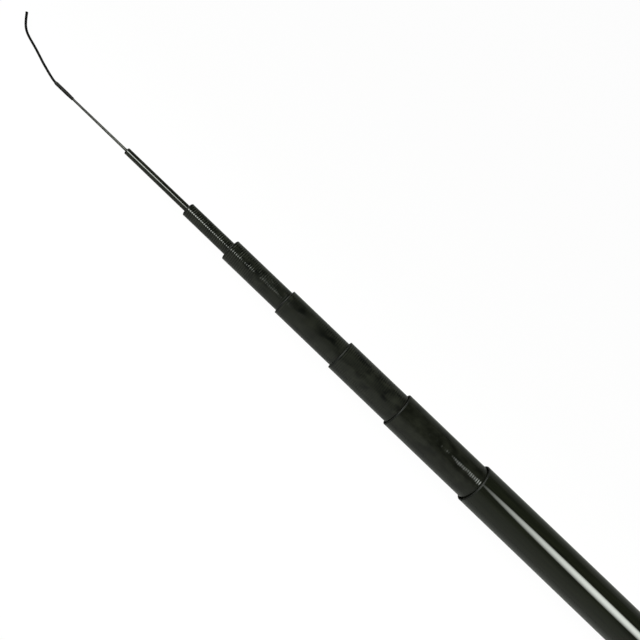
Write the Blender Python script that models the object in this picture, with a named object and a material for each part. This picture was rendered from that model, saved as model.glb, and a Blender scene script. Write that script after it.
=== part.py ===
"""Eight-section telescopic pole rod, drawn a little way open, lying along X with its tip at +X.

Metres, +Z up. The origin is below the middle of the rod, on the surface that it lies on. Each inner section
slides in the next, and the cap at the butt screws off. Every section's own x runs from its base towards its
mouth, and its origin is on the rod's axis.
"""

import math

import bmesh
import bpy

MM = 0.001

# Tip and lilian, the braided tail that the line is tied to
TIP_TOP_RADIUS = 0.72 * MM
TIP_MOUTH_RADIUS = 0.88 * MM  # where it comes out of section 2 at rest
TIP_SHOWS = 45.0 * MM  # bare tip between the sleeve and the first mouth, at rest
SLEEVE_LENGTH = 14.4 * MM
SLEEVE_WALL = 0.25 * MM
SLEEVE_TAPER = 3.0 * MM  # length of each tapered end
SLEEVE_LIP_WALL = 0.1 * MM  # wall that is left at the tapered ends
SLEEVE_OVERHANG = 1.5 * MM  # how far the sleeve reaches past the end of the tip
LILIAN_RADIUS = 0.82 * MM

# Tubes from the thinnest to the butt. A mouth gap is the room around the tip of the section inside, and
# what shows is the length that stands out of the next tube at rest.
FIRST_TUBE = 2  # the tip is counted as 1
TUBES = (
    # name, wall, mouth gap, length that shows
    ("section_2", 0.60 * MM, 0.85 * MM, 50.7 * MM),
    ("section_3", 0.70 * MM, 1.58 * MM, 35.1 * MM),
    ("section_4", 0.80 * MM, 1.85 * MM, 45.0 * MM),
    ("section_5", 0.80 * MM, 0.65 * MM, 45.9 * MM),
    ("section_6", 0.90 * MM, 0.70 * MM, 47.4 * MM),
    ("section_7", 0.90 * MM, 0.65 * MM, 63.6 * MM),
)
BUTT_NAME = "butt_section"
BUTT_WALL = 1.0 * MM
BUTT_MOUTH_GAP = 0.5 * MM
BUTT_LENGTH = 1100.0 * MM
CLOSED_STEP = 4.0 * MM  # each mouth stands this far out of the next when the rod is closed
LOCK_CLEARANCE = 0.1 * MM  # between a section's base and the mouth that it is drawn into
RING_LENGTH = 1.0 * MM
BASE_CHAMFER = 0.2 * MM

# Ferrule and cap at the back of the butt
FERRULE_WALL = 1.0 * MM
FERRULE_DEPTH = 14.0 * MM
FERRULE_FLANGE = 2.0 * MM
PASS_CLEARANCE = 0.2 * MM  # sections draw out backwards through the ferrule
GLUE_GAP = 0.2 * MM
SEAL_THICKNESS = 1.6 * MM
THREAD_PITCH = 2.0 * MM
THREAD_CREST = 0.5 * MM  # width of the cap's ridge at its crest
THREAD_REACH = 0.35 * MM  # how far the ridge reaches into the ferrule's wall
THREAD_SLOPE = 0.55  # sideways run of a flank for its height
THREAD_TURNS = 3.0
THREAD_RUNOUT = 2.0 * MM  # groove past the ridge's front end
THREAD_FADE = 0.125  # share of a turn over which each end of the ridge sinks in
THREAD_CLEARANCE = 0.2 * MM
SPIGOT_LENGTH = 14.0 * MM
SPIGOT_WALL = 2.2 * MM
CUP_DEPTH = 8.0 * MM
CAP_LENGTH = 14.0 * MM
CAP_PROUD = 0.35 * MM  # the cap's radius past the grip's
CAP_EDGE = 1.2 * MM
FLUTES = 24
FLUTE_DEPTH = 0.5 * MM
VENT_RADIUS = 1.2 * MM
SLOT_LENGTH = 16.0 * MM
SLOT_WIDTH = 2.2 * MM
SLOT_DEPTH = 1.5 * MM
PAD_THICKNESS = 3.0 * MM
STEM_ROOM = 2.0 * MM  # between the pad's stem and the bottom of the cap's cup

# Grip
GRIP_START = 6.0 * MM
GRIP_LENGTH = 320.0 * MM
GRIP_WALL = 1.0 * MM
GRIP_EDGE = 0.6 * MM

# Fits
FIT = 0.15 * MM  # between pieces that touch
LOOSE_FIT = 0.3 * MM

# Facets
SIDES = 32
THIN_SIDES = 24
CAP_SIDES = 2 * FLUTES  # also of the thread
ROUNDING_STEPS = 3

# Lilian's route: distance past the sleeve's front, sideways, and height as a share of the drop from the
# rod's axis to where the lilian lies
LILIAN_ROUTE = (
    # along, sideways, height
    (0.3 * MM, 0.0, 1.0),
    (2.5 * MM, -0.35 * MM, 0.995),
    (6.3 * MM, -1.2 * MM, 0.954),
    (10.5 * MM, -2.2 * MM, 0.85),
    (14.9 * MM, -3.2 * MM, 0.705),
    (19.4 * MM, -4.35 * MM, 0.54),
    (24.0 * MM, -5.55 * MM, 0.374),
    (28.5 * MM, -6.7 * MM, 0.222),
    (32.9 * MM, -7.75 * MM, 0.098),
    (36.9 * MM, -8.8 * MM, 0.022),
    (40.5 * MM, -10.2 * MM, 0.0),
    (43.5 * MM, -12.3 * MM, 0.0),
    (46.0 * MM, -15.0 * MM, 0.0),
    (48.3 * MM, -18.0 * MM, 0.0),
    (49.0 * MM, -19.0 * MM, 0.0),
)
LILIAN_STEPS = 23
LILIAN_LIFT = 0.2 * MM  # room under it where it lies


def finish(name, colour, roughness, metallic=0.0):
    """A plain Principled material."""
    material = bpy.data.materials.new(name)
    material.use_nodes = True
    shader = material.node_tree.nodes["Principled BSDF"]
    shader.inputs["Base Color"].default_value = (*colour, 1.0)
    shader.inputs["Roughness"].default_value = roughness
    shader.inputs["Metallic"].default_value = metallic
    material.diffuse_color = (*colour, 1.0)
    return material


def turned(name, profile, material, parent=None, x=0.0, closed=True, sides=SIDES, seam=0.5):
    """Turn (x, radius) points about the rod's axis into a solid.

    A closed profile goes once round the wall of a ring. An open one goes from axis to axis. The seam is
    that share of a facet off the vertical: half of one gives the piece a flat facet at its bottom.
    """
    turn = seam * math.tau / sides
    bm = bmesh.new()
    verts = [bm.verts.new((px, r * math.sin(turn), r * math.cos(turn))) for px, r in profile]
    edges = [bm.edges.new(pair) for pair in zip(verts, verts[1:])]
    if closed:
        edges.append(bm.edges.new((verts[-1], verts[0])))
    bmesh.ops.spin(
        bm,
        geom=verts + edges,
        cent=(0.0, 0.0, 0.0),
        axis=(1.0, 0.0, 0.0),
        angle=math.tau,
        steps=sides,
        use_merge=True,
    )
    bmesh.ops.remove_doubles(bm, verts=bm.verts, dist=1e-6)
    bmesh.ops.recalc_face_normals(bm, faces=bm.faces)
    mesh = bpy.data.meshes.new(name)
    bm.to_mesh(mesh)
    bm.free()
    return placed(name, mesh, material, parent, x)


def placed(name, mesh, material, parent, x):
    """Put a mesh in the scene, x along its parent's own axis."""
    mesh.materials.append(material)
    mesh.shade_smooth()
    mesh.set_sharp_from_angle(angle=math.radians(30))
    obj = bpy.data.objects.new(name, mesh)
    bpy.context.collection.objects.link(obj)
    obj.parent = parent
    obj.location = (x, 0.0, 0.0)
    return obj


def rounding(x, radius, size, start_deg, end_deg):
    """Points round a corner: an arc of that size about (x, radius), angles from +x towards the outside."""
    angles = [
        math.radians(start_deg + (end_deg - start_deg) * k / ROUNDING_STEPS)
        for k in range(ROUNDING_STEPS + 1)
    ]
    return [(x + size * math.cos(a), radius + size * math.sin(a)) for a in angles]


def mouth_ring(number, length, radius, wall, parent):
    """Rim at a tube's mouth, with a rounded nose; its front is at length along its tube."""
    nose = 0.45 * wall
    back = length - RING_LENGTH
    profile = [(back, radius)]
    profile += rounding(length - nose, radius - nose, nose, 90, 0)
    profile += rounding(length - nose, radius - wall + nose, nose, 0, -90)
    profile += [(back, radius - wall)]
    return turned(f"mouth_ring_{number}", profile, rim_black, parent)


def tube(name, length, mouth_radius, base_radius, wall, material, parent=None, x=0.0):
    """Tapered tube behind its mouth ring, with its base at its origin."""
    front = length - RING_LENGTH - FIT
    front_radius = base_radius + (mouth_radius - base_radius) * front / length
    profile = [
        (0.0, base_radius - BASE_CHAMFER),
        (BASE_CHAMFER, base_radius),
        (front, front_radius),
        (front, front_radius - wall),
        (0.0, base_radius - wall),
    ]
    return turned(name, profile, material, parent, x)


def thread(name, start, end, root, crest, width, fade=0.0, x=0.0, parent=None):
    """Solid ridge that winds round the axis from start to end, to be added to a piece or cut out of one.

    Its width is measured at the crest. Where its ends fade, the crest sinks to the root.
    """
    steps = round((end - start) / THREAD_PITCH * CAP_SIDES)
    fading = fade * CAP_SIDES
    rows = []
    bm = bmesh.new()
    for k in range(steps + 1):
        turn = math.tau * k / CAP_SIDES
        share = min(1.0, k / fading, (steps - k) / fading) if fade else 1.0
        top = root + (crest - root) * max(share, 0.1)
        middle = start + THREAD_PITCH * k / CAP_SIDES
        section = []
        for side, reach in ((-1, root), (-1, top), (1, top), (1, root)):
            half = width / 2 + THREAD_SLOPE * (crest - reach)
            place = (middle + side * half, reach * math.cos(turn), reach * math.sin(turn))
            section.append(bm.verts.new(place))
        rows.append(section)
    for row, after in zip(rows, rows[1:]):
        for k in range(4):
            bm.faces.new((row[k], row[k - 1], after[k - 1], after[k]))
    bm.faces.new(rows[0])
    bm.faces.new(rows[-1])
    bmesh.ops.recalc_face_normals(bm, faces=bm.faces)
    mesh = bpy.data.meshes.new(name)
    bm.to_mesh(mesh)
    bm.free()
    return shaping_solid(name, mesh, parent, x)


def shaping_solid(name, mesh, parent, x):
    """Put a solid in the scene that only shapes another piece."""
    obj = bpy.data.objects.new(name, mesh)
    bpy.context.collection.objects.link(obj)
    obj.parent = parent
    obj.location = (x, 0.0, 0.0)
    obj.hide_render = True
    obj.display_type = "WIRE"
    return obj


def shape(piece, operation, solid):
    """Add a solid to a piece, or cut it out."""
    change = piece.modifiers.new(solid.name, "BOOLEAN")
    change.operation = operation
    change.solver = "EXACT"
    change.object = solid


def smooth_point(points, t):
    """Point at parameter t, from 0 to 1, of the smooth curve through the points."""
    span = t * (len(points) - 1)
    i = min(int(span), len(points) - 2)
    f = span - i
    p = [points[min(max(i + k, 0), len(points) - 1)] for k in (-1, 0, 1, 2)]
    return tuple(
        0.5
        * (
            2 * b
            + (c - a) * f
            + (2 * a - 5 * b + 4 * c - d) * f * f
            + (3 * b - a - 3 * c + d) * f * f * f
        )
        for a, b, c, d in zip(*p)
    )


for old in list(bpy.data.objects):
    bpy.data.objects.remove(old, do_unlink=True)

# Materials, one for each kind of piece
gloss_blank = finish("clear_coated_carbon", (0.014, 0.014, 0.013), 0.12)
satin_blank = finish("wound_carbon", (0.017, 0.017, 0.015), 0.38)
tip_grey = finish("ground_solid_carbon", (0.05, 0.05, 0.05), 0.3)
rim_black = finish("black_lacquer", (0.004, 0.004, 0.004), 0.3)
braid_black = finish("braided_nylon", (0.006, 0.006, 0.006), 0.8)
sleeve_black = finish("shrunk_sleeve", (0.02, 0.02, 0.02), 0.4)
anodised = finish("anodised_aluminium", (0.03, 0.03, 0.032), 0.35, 1.0)
bare_metal = finish("turned_aluminium", (0.6, 0.6, 0.6), 0.3, 1.0)
rubber = finish("moulded_rubber", (0.012, 0.012, 0.012), 0.8)
grip_rubber = finish("ribbed_rubber", (0.016, 0.016, 0.016), 0.75)

# Radii, worked out from the tip to the butt
mouth_radii = []
inner = TIP_TOP_RADIUS
for _, wall, gap, _ in TUBES:
    mouth_radii.append(inner + gap + wall)
    inner = mouth_radii[-1]
butt_mouth_radius = inner + BUTT_MOUTH_GAP + BUTT_WALL
bores = [radius - wall for radius, (_, wall, _, _) in zip(mouth_radii, TUBES)]
bores.append(butt_mouth_radius - BUTT_WALL)
base_radii = [bore - LOCK_CLEARANCE for bore in bores]  # tip first, then the tubes
tip_base_radius = base_radii[0]
ferrule_bore = base_radii[-1] + PASS_CLEARANCE
butt_bore = ferrule_bore + FERRULE_WALL + GLUE_GAP
butt_base_radius = butt_bore + BUTT_WALL
grip_radius = butt_base_radius + FIT + GRIP_WALL
cap_radius = grip_radius + CAP_PROUD

# Places along the rod, from the back end of the butt's tube
flange_back = -FIT - FERRULE_FLANGE
cap_front = flange_back - FIT - SEAL_THICKNESS - FIT
cap_back = cap_front - CAP_LENGTH
spigot_front = cap_front + SPIGOT_LENGTH
pad_back = spigot_front + FIT
pad_front = pad_back + PAD_THICKNESS
closed_base = pad_front + LOOSE_FIT  # where every section's base stands when the rod is closed
tube_shows = sum(shows for *_, shows in TUBES)
rod_front = BUTT_LENGTH + tube_shows + TIP_SHOWS + SLEEVE_LENGTH
axis_height = cap_radius * math.cos(math.pi / FLUTES)
butt_x = -(cap_back + rod_front) / 2

# Butt section, grip and ferrule
butt = tube(BUTT_NAME, BUTT_LENGTH, butt_mouth_radius, butt_base_radius, BUTT_WALL, gloss_blank)
butt.location = (butt_x, 0.0, axis_height)
mouth_ring(FIRST_TUBE + len(TUBES), BUTT_LENGTH, butt_mouth_radius, BUTT_WALL, butt)

butt_slope = (butt_base_radius - butt_mouth_radius) / BUTT_LENGTH
grip_end = GRIP_START + GRIP_LENGTH
grip_bore = butt_base_radius - butt_slope * GRIP_START + FIT
grip_bore_end = butt_base_radius - butt_slope * grip_end + FIT
grip_edge = min(GRIP_EDGE, 0.8 * GRIP_WALL)
turned(
    "grip_sleeve",
    [
        (GRIP_START, grip_bore + GRIP_WALL - grip_edge),
        (GRIP_START + grip_edge, grip_bore + GRIP_WALL),
        (grip_end - grip_edge, grip_bore_end + GRIP_WALL),
        (grip_end, grip_bore_end + GRIP_WALL - grip_edge),
        (grip_end, grip_bore_end),
        (GRIP_START, grip_bore),
    ],
    grip_rubber,
    butt,
)
ferrule = turned(
    "butt_ferrule",
    [
        (flange_back, ferrule_bore),
        (flange_back, butt_base_radius),
        (-FIT, butt_base_radius),
        (-FIT, ferrule_bore + FERRULE_WALL),
        (FERRULE_DEPTH, ferrule_bore + FERRULE_WALL),
        (FERRULE_DEPTH, ferrule_bore),
    ],
    bare_metal,
    butt,
    sides=CAP_SIDES,
)
ridge_crest = ferrule_bore + THREAD_REACH
ridge_start = flange_back + THREAD_PITCH / 2
ridge_end = ridge_start + THREAD_TURNS * THREAD_PITCH
groove_start = ridge_start - THREAD_PITCH
groove_end = ridge_end + THREAD_RUNOUT
groove = thread(
    "groove_cutter",
    groove_start,
    groove_end,
    ferrule_bore - THREAD_CLEARANCE,
    ridge_crest + THREAD_CLEARANCE,
    THREAD_CREST + 2 * FIT - 2 * THREAD_SLOPE * THREAD_CLEARANCE,
    parent=butt,
)
shape(ferrule, "DIFFERENCE", groove)

# Seal and cushion, which travel with the cap
travel = bpy.data.objects.new("cap_travel", None)
bpy.context.collection.objects.link(travel)
travel.parent = butt
seal_radius = SEAL_THICKNESS / 2
seal_middle = (cap_front + flange_back) / 2
turned(
    "cap_seal",
    [
        (
            seal_middle + seal_radius * math.cos(math.tau * k / 8),
            ferrule_bore + seal_radius * (1 + math.sin(math.tau * k / 8)),
        )
        for k in range(8)
    ],
    rubber,
    travel,
)
spigot_radius = ferrule_bore - THREAD_CLEARANCE
cup_radius = spigot_radius - SPIGOT_WALL
cup_floor = spigot_front - CUP_DEPTH
turned(
    "cushion_pad",
    [
        (pad_front, VENT_RADIUS),
        (pad_front, spigot_radius),
        (pad_back, spigot_radius),
        (pad_back, cup_radius - LOOSE_FIT),
        (cup_floor + STEM_ROOM, cup_radius - LOOSE_FIT),
        (cup_floor + STEM_ROOM, VENT_RADIUS),
    ],
    rubber,
    travel,
)

# Cap, with a threaded spigot, a fluted rim, a vent hole through its middle and a coin slot across its end
cap = turned(
    "butt_cap",
    [
        (cap_front, spigot_radius),
        (cap_front, cap_radius - CAP_EDGE),
        (cap_front - CAP_EDGE, cap_radius),
        (cap_back + CAP_EDGE, cap_radius),
        (cap_back, cap_radius - CAP_EDGE),
        (cap_back, VENT_RADIUS),
        (cup_floor, VENT_RADIUS),
        (cup_floor, cup_radius),
        (spigot_front, cup_radius),
        (spigot_front, spigot_radius),
    ],
    anodised,
    travel,
    sides=CAP_SIDES,
    seam=0.0,
)
for vert in cap.data.vertices:
    reach = math.hypot(vert.co.y, vert.co.z)
    column = round(math.atan2(vert.co.y, vert.co.z) / (math.pi / FLUTES))
    if reach > cap_radius - FLUTE_DEPTH and column % 2 == 0:
        vert.co.y *= 1 - FLUTE_DEPTH / cap_radius
        vert.co.z *= 1 - FLUTE_DEPTH / cap_radius
ridge = thread(
    "ridge_adder",
    ridge_start,
    ridge_end,
    spigot_radius - THREAD_CLEARANCE,
    ridge_crest,
    THREAD_CREST,
    THREAD_FADE,
    parent=travel,
)
shape(cap, "UNION", ridge)
slot_mesh = bpy.data.meshes.new("slot_cutter")
box = bmesh.new()
bmesh.ops.create_cube(box, size=1.0)
bmesh.ops.scale(box, vec=(2 * SLOT_DEPTH, SLOT_LENGTH, SLOT_WIDTH), verts=box.verts)
box.to_mesh(slot_mesh)
box.free()
shape(cap, "DIFFERENCE", shaping_solid("slot_cutter", slot_mesh, travel, cap_back))

# Inner tubes, each one a step longer than the next and drawn out of it to its rest place
holder = butt
base_in_holder = closed_base
length = BUTT_LENGTH - closed_base
for index in range(len(TUBES) - 1, -1, -1):
    name, wall, _, shows = TUBES[index]
    length += CLOSED_STEP
    draw = shows - CLOSED_STEP
    holder = tube(
        name,
        length,
        mouth_radii[index],
        base_radii[index + 1],
        wall,
        satin_blank,
        holder,
        base_in_holder + draw,
    )
    mouth_ring(FIRST_TUBE + index, length, mouth_radii[index], wall, holder)
    base_in_holder = 0.0

# Tip, solid, with its last stretch inside the sleeve
tip_draw = TIP_SHOWS - CLOSED_STEP
sleeve_back = length + CLOSED_STEP
sleeve_front = sleeve_back + SLEEVE_LENGTH
tip_length = sleeve_front - SLEEVE_OVERHANG
tip = turned(
    "tip_blank",
    [
        (0.0, 0.0),
        (0.0, tip_base_radius - BASE_CHAMFER),
        (BASE_CHAMFER, tip_base_radius),
        (sleeve_back - TIP_SHOWS, TIP_MOUTH_RADIUS),
        (sleeve_back, TIP_TOP_RADIUS),
        (tip_length, TIP_TOP_RADIUS),
        (tip_length, 0.0),
    ],
    tip_grey,
    holder,
    tip_draw,
    closed=False,
    sides=THIN_SIDES,
)
sleeve_bore = TIP_TOP_RADIUS + FIT
turned(
    "lilian_sleeve",
    [
        (sleeve_back, sleeve_bore),
        (sleeve_back, sleeve_bore + SLEEVE_LIP_WALL),
        (sleeve_back + SLEEVE_TAPER, sleeve_bore + SLEEVE_WALL),
        (sleeve_front - SLEEVE_TAPER, sleeve_bore + SLEEVE_WALL),
        (sleeve_front, sleeve_bore + SLEEVE_LIP_WALL),
        (sleeve_front, sleeve_bore),
    ],
    sleeve_black,
    tip,
    sides=THIN_SIDES,
)

# Lilian: a smooth curve through the route's points, read off at even steps. The rod rests on its grip's
# front end and the butt's mouth, so its nose dips a little, and the lilian lies on what it then rests on.
dip = (grip_bore_end + GRIP_WALL - butt_mouth_radius) / (BUTT_LENGTH - grip_end)
lying_drop = butt_mouth_radius - dip * (rod_front - BUTT_LENGTH) - LILIAN_RADIUS - LILIAN_LIFT
guide = [
    (rod_front + butt_x + along, sideways, axis_height - (1 - height) * (lying_drop - dip * along))
    for along, sideways, height in LILIAN_ROUTE
]
curve = bpy.data.curves.new("lilian", "CURVE")
curve.dimensions = "3D"
curve.bevel_depth = LILIAN_RADIUS
curve.bevel_resolution = 2
curve.use_fill_caps = True
spline = curve.splines.new("POLY")
spline.points.add(LILIAN_STEPS)
for k, point in enumerate(spline.points):
    point.co = (*smooth_point(guide, k / LILIAN_STEPS), 1.0)
curve.materials.append(braid_black)
lilian = bpy.data.objects.new("lilian", curve)
bpy.context.collection.objects.link(lilian)
bpy.context.view_layer.update()
lilian.parent = tip
lilian.matrix_parent_inverse = tip.matrix_world.inverted()
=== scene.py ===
import math

import bmesh
import bpy
from mathutils import Matrix, Vector


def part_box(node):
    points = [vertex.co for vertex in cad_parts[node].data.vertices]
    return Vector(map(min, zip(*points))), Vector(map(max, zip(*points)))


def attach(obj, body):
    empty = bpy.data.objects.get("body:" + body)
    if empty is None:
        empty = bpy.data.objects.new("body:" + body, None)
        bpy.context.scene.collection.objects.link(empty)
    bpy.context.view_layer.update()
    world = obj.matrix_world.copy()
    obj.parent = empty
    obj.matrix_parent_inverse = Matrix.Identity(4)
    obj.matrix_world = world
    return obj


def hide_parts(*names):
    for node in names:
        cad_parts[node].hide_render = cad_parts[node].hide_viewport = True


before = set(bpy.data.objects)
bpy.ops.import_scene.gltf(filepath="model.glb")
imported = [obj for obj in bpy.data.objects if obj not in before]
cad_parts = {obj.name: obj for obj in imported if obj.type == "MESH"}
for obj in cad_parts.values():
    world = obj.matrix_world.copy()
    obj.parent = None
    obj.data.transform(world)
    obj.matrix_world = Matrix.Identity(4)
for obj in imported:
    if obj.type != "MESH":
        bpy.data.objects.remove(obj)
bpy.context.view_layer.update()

# Camera
# It looks straight down from 38 cm above the sections that stand out of the butt, turned so that the tip
# points up and to the left, and the butt runs out of the picture at the lower right.
axis_height = (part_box("section_7")[0].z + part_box("section_7")[1].z) / 2


def placed(name, data):
    """A new object in the scene."""
    obj = bpy.data.objects.new(name, data)
    bpy.context.scene.collection.objects.link(obj)
    return obj


camera_data = bpy.data.cameras.new("camera")
camera_data.lens = 36.0
camera_data.sensor_width = 36.0
camera_data.clip_start = 0.01
camera = placed("camera", camera_data)
bpy.context.scene.camera = camera
picture_right = Vector((-0.7222, -0.6917, 0.0)).normalized()
picture_up = Vector((0.6917, -0.7222, 0.0)).normalized()
camera_place = Vector((0.5194, -0.00687, axis_height + 0.384))
camera.matrix_world = Matrix.Translation(camera_place) @ Matrix(
    (picture_right, picture_up, picture_right.cross(picture_up))
).transposed().to_4x4()

# Lilian, the tail that the line is hitched to
# A round braid of twelve black nylon strands over a core, pushed into the sleeve on the tip. Its free end
# is melted together so that it can't fray. It is limp, and lies in the bend that it was stored in.
MM = 0.001
rod_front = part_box("lilian_sleeve")[1].x
LYING_DROP = 11.254 * MM  # from the rod's axis down to where the lilian lies, at the sleeve
NOSE_DIP = 0.00268  # how steeply the rod's nose dips when it is put down
ROUTE = (
    # millimetres past the sleeve, millimetres sideways, share of the drop that is left
    (0.3, 0.0, 1.0),
    (2.5, -0.35, 0.995),
    (6.3, -1.2, 0.954),
    (10.5, -2.2, 0.85),
    (14.9, -3.2, 0.705),
    (19.4, -4.35, 0.54),
    (24.0, -5.55, 0.374),
    (28.5, -6.7, 0.222),
    (32.9, -7.75, 0.098),
    (36.9, -8.8, 0.022),
    (40.5, -10.2, 0.0),
    (43.5, -12.3, 0.0),
    (46.0, -15.0, 0.0),
    (48.3, -18.0, 0.0),
    (49.0, -19.0, 0.0),
)
ROUTE_STEPS = 46
INSIDE_SLEEVE = 1.2 * MM
STRANDS_EACH_WAY = 6
STRAND_SIDES = 6
CORE_SIDES = 12
FLARE_START = 0.955  # share of the tail's length at which its melted end begins to widen
BEAD_STRETCH = (1.58, 1.58, 0.4)  # of the melted bead, from a ball of the strands' middle radius


def smooth_point(points, t):
    """Point at parameter t, from 0 to 1, of the smooth curve through the points."""
    span = t * (len(points) - 1)
    i = min(int(span), len(points) - 2)
    f = span - i
    near = [points[min(max(i + k, 0), len(points) - 1)] for k in (-1, 0, 1, 2)]
    return tuple(
        0.5 * (2 * b + (c - a) * f + (2 * a - 5 * b + 4 * c - d) * f**2 + (3 * b - a - 3 * c + d) * f**3)
        for a, b, c, d in zip(*near)
    )


def add(tree, kind, inputs=None, **settings):
    """Add a node with its own settings. An input is a value, a node or one of a node's outputs."""
    node = tree.nodes.new(kind)
    for key, value in settings.items():
        setattr(node, key, value)
    for key, value in (inputs or {}).items():
        if isinstance(value, bpy.types.Node):
            value = value.outputs[0]
        if isinstance(value, bpy.types.NodeSocket):
            tree.links.new(value, node.inputs[key])
        else:
            node.inputs[key].default_value = value
    return node


def shape_tree(name, **inputs):
    """An empty Geometry Nodes tree with inputs, named under their kinds, and its input node."""
    tree = bpy.data.node_groups.new(name, "GeometryNodeTree")
    tree.interface.new_socket("Geometry", in_out="INPUT", socket_type="NodeSocketGeometry")
    for kind, labels in inputs.items():
        for label in labels:
            tree.interface.new_socket(label, in_out="INPUT", socket_type=f"NodeSocket{kind}")
    tree.interface.new_socket("Geometry", in_out="OUTPUT", socket_type="NodeSocketGeometry")
    return tree, tree.nodes.new("NodeGroupInput")


def end_tree(tree, parts, material):
    """Join a tree's parts, give them their material and lead them out."""
    joined = add(tree, "GeometryNodeJoinGeometry")
    for part in parts:
        tree.links.new(part.outputs[0], joined.inputs[0])
    smooth = add(tree, "GeometryNodeSetShadeSmooth", {"Geometry": joined})
    real = add(tree, "GeometryNodeRealizeInstances", {"Geometry": smooth})
    dressed = add(tree, "GeometryNodeSetMaterial", {"Geometry": real, "Material": material})
    add(tree, "NodeGroupOutput", {"Geometry": dressed})


def settled(obj):
    """The plain mesh that an object's modifiers make of it."""
    depsgraph = bpy.context.evaluated_depsgraph_get()
    return bpy.data.meshes.new_from_object(obj.evaluated_get(depsgraph), depsgraph=depsgraph)


def grown(tree, start, **values):
    """The plain mesh that a shape tree makes of a start shape, with these values for its inputs."""
    source = placed("start", start)
    modifier = source.modifiers.new(tree.name, "NODES")
    modifier.node_group = tree
    for item in tree.interface.items_tree:
        label = item.name.lower().replace(" ", "_")
        if item.in_out == "INPUT" and label in values:
            modifier[item.identifier] = values[label]
    mesh = settled(source)
    bpy.data.objects.remove(source)
    return mesh


def faced_outwards(mesh):
    """Close a mesh's seams and turn its faces outwards."""
    bm = bmesh.new()
    bm.from_mesh(mesh)
    bmesh.ops.remove_doubles(bm, verts=bm.verts, dist=1e-7)
    bmesh.ops.recalc_face_normals(bm, faces=bm.faces)
    bm.to_mesh(mesh)
    bm.free()


def piece(name, mesh, body, replaced=(), sharp=35):
    """A finished piece: faces outwards, smooth but for its edges, riding on its body."""
    mesh.name = name
    faced_outwards(mesh)
    mesh.shade_smooth()
    mesh.set_sharp_from_angle(angle=math.radians(sharp))
    obj = placed(name, mesh)
    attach(obj, body)
    if replaced:
        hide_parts(*replaced)
    return obj


def colour(code):
    """An sRGB hex value as a linear colour."""
    parts = [int(code[k : k + 2], 16) / 255 for k in (1, 3, 5)]
    linear = [c / 12.92 if c <= 0.04045 else ((c + 0.055) / 1.055) ** 2.4 for c in parts]
    return (*linear, 1.0)


def finish(name, **constants):
    """A material with its Principled shader set to these constant values, and its tree and shader."""
    material = bpy.data.materials.new(name)
    material.use_nodes = True
    shader = material.node_tree.nodes["Principled BSDF"]
    for label, value in constants.items():
        shader.inputs[label.replace("_", " ")].default_value = value
    return material, material.node_tree, shader


def ramped(tree, share, stops):
    """A colour ramp for a share, with these stops, each (position, linear colour)."""
    ramp = add(tree, "ShaderNodeValToRGB", {"Fac": share})
    while len(ramp.color_ramp.elements) < len(stops):
        ramp.color_ramp.elements.new(0.5)
    for element, (position, shade) in zip(ramp.color_ramp.elements, stops):
        element.position = position
        element.color = shade
    return ramp


def shaded(tree, shader, share, *stops):
    """Lead a share through colour stops, each (position, hex value), into a shader's base colour."""
    ramp = ramped(tree, share, [(position, colour(code)) for position, code in stops])
    tree.links.new(ramp.outputs["Color"], shader.inputs["Base Color"])


def raised(tree, shader, height, distance, before=None):
    """Bump a shader's surface by a height from 0 to 1 times that distance, over any earlier bump."""
    bump = add(tree, "ShaderNodeBump", {"Distance": distance, "Height": height})
    if before:
        tree.links.new(before.outputs["Normal"], bump.inputs["Normal"])
    tree.links.new(bump.outputs["Normal"], shader.inputs["Normal"])
    return bump


# Braided nylon, dyed deep black and nearly matt, so that the light only just picks out the strands and
# their fine filaments. These are about 0.02 mm thick, and drawn three times as thick, so that they show.
FILAMENTS_ACROSS = 16000.0  # for each metre across a strand
FILAMENTS_ALONG = 650.0  # for each metre along it, because each is one long streak
NEXT_STRAND = 7.0  # how far the streaks are shifted from strand to strand
braided_nylon, tree, shader = finish("braided_nylon_dyed", Roughness=0.45, Specular_IOR_Level=0.06)
line_place = add(tree, "ShaderNodeAttribute", attribute_name="strand_line").outputs["Vector"]
round_place = add(tree, "ShaderNodeAttribute", attribute_name="strand_round").outputs["Vector"]
finenesses = (FILAMENTS_ALONG, NEXT_STRAND, 0.0)
along_it = add(tree, "ShaderNodeVectorMath", {0: line_place, 1: finenesses}, operation="DOT_PRODUCT")
along_it = add(tree, "ShaderNodeCombineXYZ", {"Z": along_it.outputs["Value"]})
finenesses = (FILAMENTS_ACROSS, FILAMENTS_ACROSS, 0.0)
place = {0: round_place, 1: finenesses, 2: along_it}
place = add(tree, "ShaderNodeVectorMath", place, operation="MULTIPLY_ADD")
filaments = add(tree, "ShaderNodeTexNoise", {"Vector": place, "Scale": 1.0, "Detail": 2.0})
shaded(tree, shader, filaments, (0.3, "#010101"), (0.75, "#040404"))
raised(tree, shader, filaments, 0.012 * MM)


def copied_both_ways(tree, line, starts):
    """Copies of a line to be wound both ways round, as many each way as there are starts.

    It returns the copies, the way that each is wound, 1 or -1, and where it starts, in turns.
    """
    twice = add(tree, "ShaderNodeMath", {0: starts, 1: 2.0}, operation="MULTIPLY")
    twice = {"Geometry": line, "Amount": twice}
    copies = add(tree, "GeometryNodeDuplicateElements", twice, domain="SPLINE")
    number = copies.outputs["Duplicate Index"]
    first_half = add(tree, "ShaderNodeMath", {0: number, 1: starts}, operation="LESS_THAN")
    way = add(tree, "ShaderNodeMath", {0: first_half, 1: 2.0, 2: -1.0}, operation="MULTIPLY_ADD")
    start = add(tree, "ShaderNodeMath", {0: number, 1: starts}, operation="DIVIDE")
    return copies, way, start


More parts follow.
